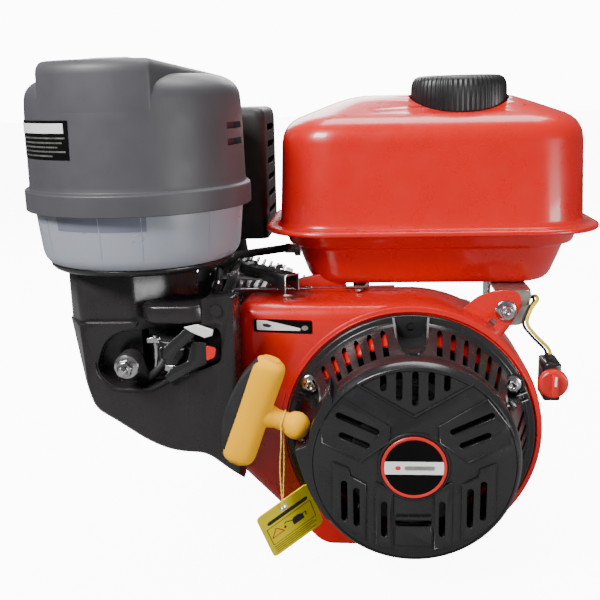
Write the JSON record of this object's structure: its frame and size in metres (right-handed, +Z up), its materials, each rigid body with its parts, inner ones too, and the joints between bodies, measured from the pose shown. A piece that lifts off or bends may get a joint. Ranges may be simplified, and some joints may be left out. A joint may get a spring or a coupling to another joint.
{
  "type": "small gasoline engine",
  "caption": "Single-cylinder air-cooled gasoline engine with recoil starter, red blower housing and tank, and a round two-stage air cleaner on a dark intake duct.",
  "frame": {"origin": "on the underside of the base, midway between the foot holes and straight below the crank axis", "axes": "+Z up, +Y along the crank axis towards the output shaft, +X away from the cylinder head"},
  "size_m": [0.4476, 0.3238, 0.4],
  "materials": {
    "red_paint": "gloss red paint",
    "red_plastic": "gloss",
    "dark_plastic": "satin black",
    "duct_plastic": "satin dark grey",
    "cap_plastic": "fine grain",
    "milky_plastic": "translucent",
    "yellow_plastic": "satin",
    "cast_aluminium": "as cast",
    "bright_steel": "bright",
    "zinc_plate": "zinc plated",
    "black_metal": "satin black",
    "black_rubber": "matte",
    "ceramic": "glazed",
    "filter_paper": "pleated",
    "yellow_card": "coated",
    "string": "twisted",
    "rope": "braided"
  },
  "bodies": {
    "engine": {"air_bowl": "milky_plastic", "air_cap": "cap_plastic", "air_duct": "duct_plastic", "air_filter": "filter_paper", "carburettor": "cast_aluminium", "connecting_rod": "cast_aluminium", "control_bracket": "zinc_plate", "crankcase": "cast_aluminium", "cylinder_head": "cast_aluminium", "drain_bolt": "bright_steel", "duct_nut": "bright_steel", "exhaust_pipe": "black_metal", "fan_cover": "red_paint", "float_bowl": "zinc_plate", "fuel_hose": "black_rubber", "fuel_tank": "red_paint", "ignition_coil": "dark_plastic", "ignition_lead": "black_rubber", "insulator": "dark_plastic", "main_bearing_front": "bright_steel", "main_bearing_rear": "bright_steel", "muffler": "black_metal", "muffler_guard": "black_metal", "piston": "cast_aluminium", "piston_pin": "bright_steel", "recoil_bolt_1": "bright_steel", "recoil_bolt_2": "bright_steel", "recoil_bolt_3": "bright_steel", "recoil_emblem": "dark_plastic", "recoil_housing": "dark_plastic", "rocker_cover": "black_metal", "side_cover": "cast_aluminium", "spark_plug": "ceramic", "spark_plug_cap": "black_rubber", "switch_base": "dark_plastic", "switch_lead": "yellow_plastic", "tank_bolt": "bright_steel", "tank_bracket_left": "black_metal", "tank_bracket_right": "zinc_plate"},
    "crank": {"crankshaft": "bright_steel", "flywheel": "cast_aluminium", "cooling_fan": "dark_plastic", "starter_cup": "zinc_plate", "flywheel_nut": "bright_steel"},
    "camshaft": {"camshaft": "bright_steel"},
    "starter_reel": {"starter_reel": "cast_aluminium"},
    "starter_handle": {"starter_handle": "yellow_plastic", "handle_insert": "black_rubber", "starter_rope": "rope"},
    "oil_tag": {"oil_tag": "yellow_card", "tag_string": "string"},
    "choke_lever": {"choke_lever": "zinc_plate"},
    "fuel_valve_lever": {"fuel_valve_lever": "dark_plastic"},
    "fuel_cap": {"fuel_cap": "dark_plastic"},
    "throttle_lever": {"throttle_lever": "black_metal"},
    "governor_arm": {"governor_arm": "zinc_plate"},
    "governor_rod": {"governor_rod": "bright_steel", "governor_spring": "bright_steel"},
    "switch_knob": {"switch_knob": "red_plastic"},
    "oil_cap": {"oil_cap": "dark_plastic"}
  },
  "joints": [
    {"name": "crank_spin", "type": "hinge", "parent": "engine", "child": "crank", "pos_m": [0, 0, 0.106], "axis": [0, 1, 0], "continuous": true},
    {"name": "cam_spin", "type": "hinge", "parent": "engine", "child": "camshaft", "pos_m": [-0.02409, 0, 0.05434], "axis": [0, 1, 0], "continuous": true},
    {"name": "handle_pull", "type": "slide", "parent": "engine", "child": "starter_handle", "axis": [-0.8, -0.55, 0.24], "range_m": [0, 0.9], "stiffness_N_per_m": 10, "springref_m": -0.6},
    {"name": "reel_spin", "type": "hinge", "parent": "engine", "child": "starter_reel", "pos_m": [0, -0.17, 0.106], "axis": [0, 1, 0], "range_deg": [0, 1480]},
    {"name": "tag_swing", "type": "hinge", "parent": "starter_handle", "child": "oil_tag", "pos_m": [-0.09633, -0.167, 0.13398], "axis": [1, 0, 0], "range_deg": [-40, 0]},
    {"name": "choke_turn", "type": "hinge", "parent": "engine", "child": "choke_lever", "pos_m": [-0.178, -0.16, 0.185], "axis": [0, 1, 0], "range_deg": [-60, 0]},
    {"name": "fuel_valve_turn", "type": "hinge", "parent": "engine", "child": "fuel_valve_lever", "pos_m": [-0.179, -0.16, 0.1655], "axis": [0, 1, 0], "range_deg": [0, 60]},
    {"name": "fuel_cap_turn", "type": "hinge", "parent": "engine", "child": "fuel_cap", "pos_m": [0.042, -0.035, 0.35], "axis": [0, 0, 1], "range_deg": [0, 90]},
    {"name": "throttle_turn", "type": "hinge", "parent": "engine", "child": "throttle_lever", "pos_m": [-0.13, -0.062, 0.231], "axis": [0, 0, 1], "range_deg": [-20, 12]},
    {"name": "governor_swing", "type": "hinge", "parent": "engine", "child": "governor_arm", "pos_m": [-0.036, -0.04, 0.212], "axis": [0, 0, 1], "range_deg": [-10, 14]},
    {"name": "governor_link", "type": "slide", "parent": "engine", "child": "governor_rod", "axis": [-0.9968, -0.0805, 0], "range_m": [-0.011, 0.009]},
    {"name": "switch_turn", "type": "hinge", "parent": "engine", "child": "switch_knob", "pos_m": [0.111, -0.1123, 0.145], "axis": [0, 1, 0], "range_deg": [0, 60]},
    {"name": "oil_cap_turn", "type": "hinge", "parent": "engine", "child": "oil_cap", "pos_m": [0.072, 0.02, 0.052], "axis": [1, 0, 0], "range_deg": [0, 360]}
  ],
  "couplings": [
    {"joint": "cam_spin", "follows": "crank_spin", "ratio": -0.5},
    {"joint": "reel_spin", "follows": "handle_pull", "rad_per_m": 28.571},
    {"joint": "governor_link", "follows": "governor_swing", "m_per_rad": -0.0366}
  ]
}
